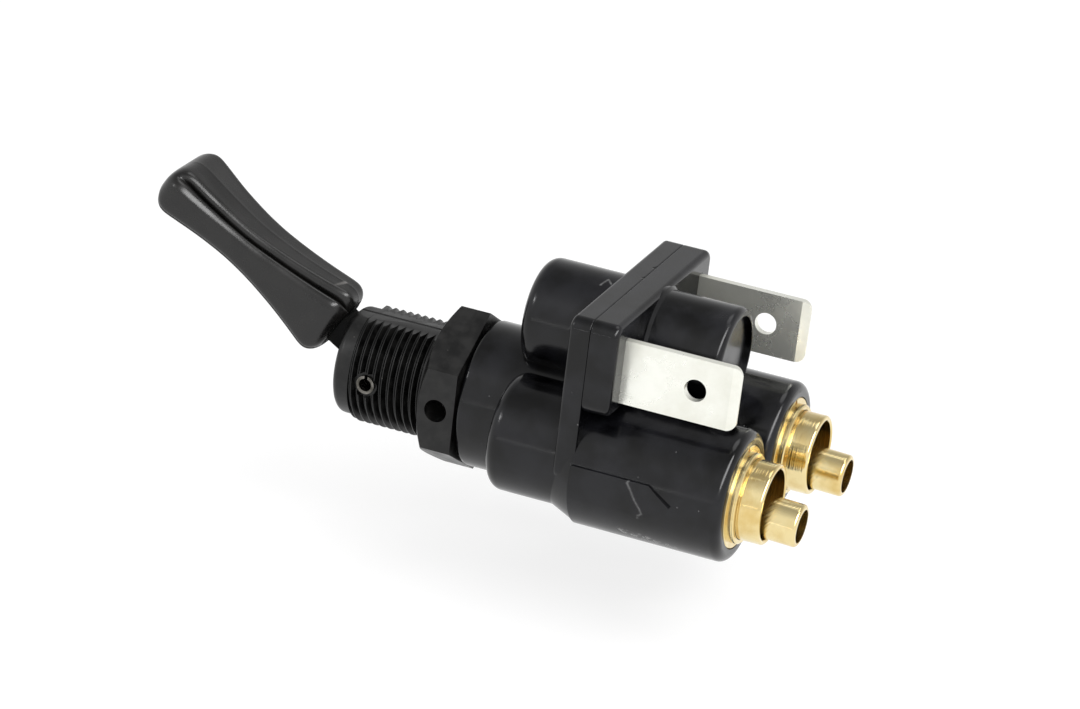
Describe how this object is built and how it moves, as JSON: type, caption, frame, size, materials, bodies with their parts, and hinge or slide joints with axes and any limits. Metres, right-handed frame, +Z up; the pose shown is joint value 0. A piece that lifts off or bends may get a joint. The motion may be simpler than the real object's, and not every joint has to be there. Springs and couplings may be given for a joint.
{
  "type": "air electric toggle valve",
  "caption": "Panel toggle valve: a flared hand lever shifts an air spool, and the delivered air closes a switch with blade terminals above brass push-in tube ports.",
  "frame": {"origin": "on the neck's axis at the hexagon's front face, where the panel seats", "axes": "+X along the neck's axis from the lever to the tube ports, +Z up towards the switch"},
  "size_m": [0.0711, 0.0276, 0.0245],
  "materials": {
    "gloss_black": "glossy moulded black plastic",
    "matt_black": "matt moulded dark grey plastic",
    "brass": "bright turned",
    "tinned": "tinned, dull",
    "steel": "bright spring steel",
    "rubber": "matt black",
    "acetal": "turned natural acetal"
  },
  "bodies": {
    "housing": {"body": "gloss_black", "bonnet": "matt_black", "bonnet_seal": "rubber", "pivot_pin": "steel", "return_spring": "steel", "switch_cover": "gloss_black", "near_terminal": "tinned", "far_terminal": "tinned", "switch_spring": "steel", "delivery_cartridge": "brass", "delivery_seal": "rubber", "delivery_insert": "brass", "supply_cartridge": "brass", "supply_seal": "rubber", "supply_insert": "brass"},
    "lever": {"lever": "matt_black"},
    "spool": {"valve_spool": "acetal", "front_spool_seal": "rubber", "rear_spool_seal": "rubber"},
    "switch_contact": {"switch_piston": "acetal", "piston_seal": "rubber", "contact_bridge": "brass"},
    "delivery_release": {"delivery_collet": "brass"},
    "supply_release": {"supply_collet": "brass"}
  },
  "joints": [
    {"name": "lever_tilt", "type": "hinge", "parent": "housing", "child": "lever", "pos_m": [-0.0063, 0, 0], "axis": [0, -1, 0], "range_deg": [0, 62.4]},
    {"name": "spool_slide", "type": "slide", "parent": "housing", "child": "spool", "axis": [1, 0, 0], "range_m": [0, 0.00131], "deforming": ["return_spring"]},
    {"name": "switch_slide", "type": "slide", "parent": "housing", "child": "switch_contact", "axis": [1, 0, 0], "range_m": [0, 0.0004], "stiffness_N_per_m": 800, "springref_m": -0.001, "deforming": ["switch_spring"]},
    {"name": "delivery_press", "type": "slide", "parent": "housing", "child": "delivery_release", "axis": [-1, 0, 0], "range_m": [0, 0.001]},
    {"name": "supply_press", "type": "slide", "parent": "housing", "child": "supply_release", "axis": [-1, 0, 0], "range_m": [0, 0.001]}
  ],
  "couplings": [
    {"joint": "spool_slide", "follows": "lever_tilt", "m_per_rad": 0.0012}
  ]
}
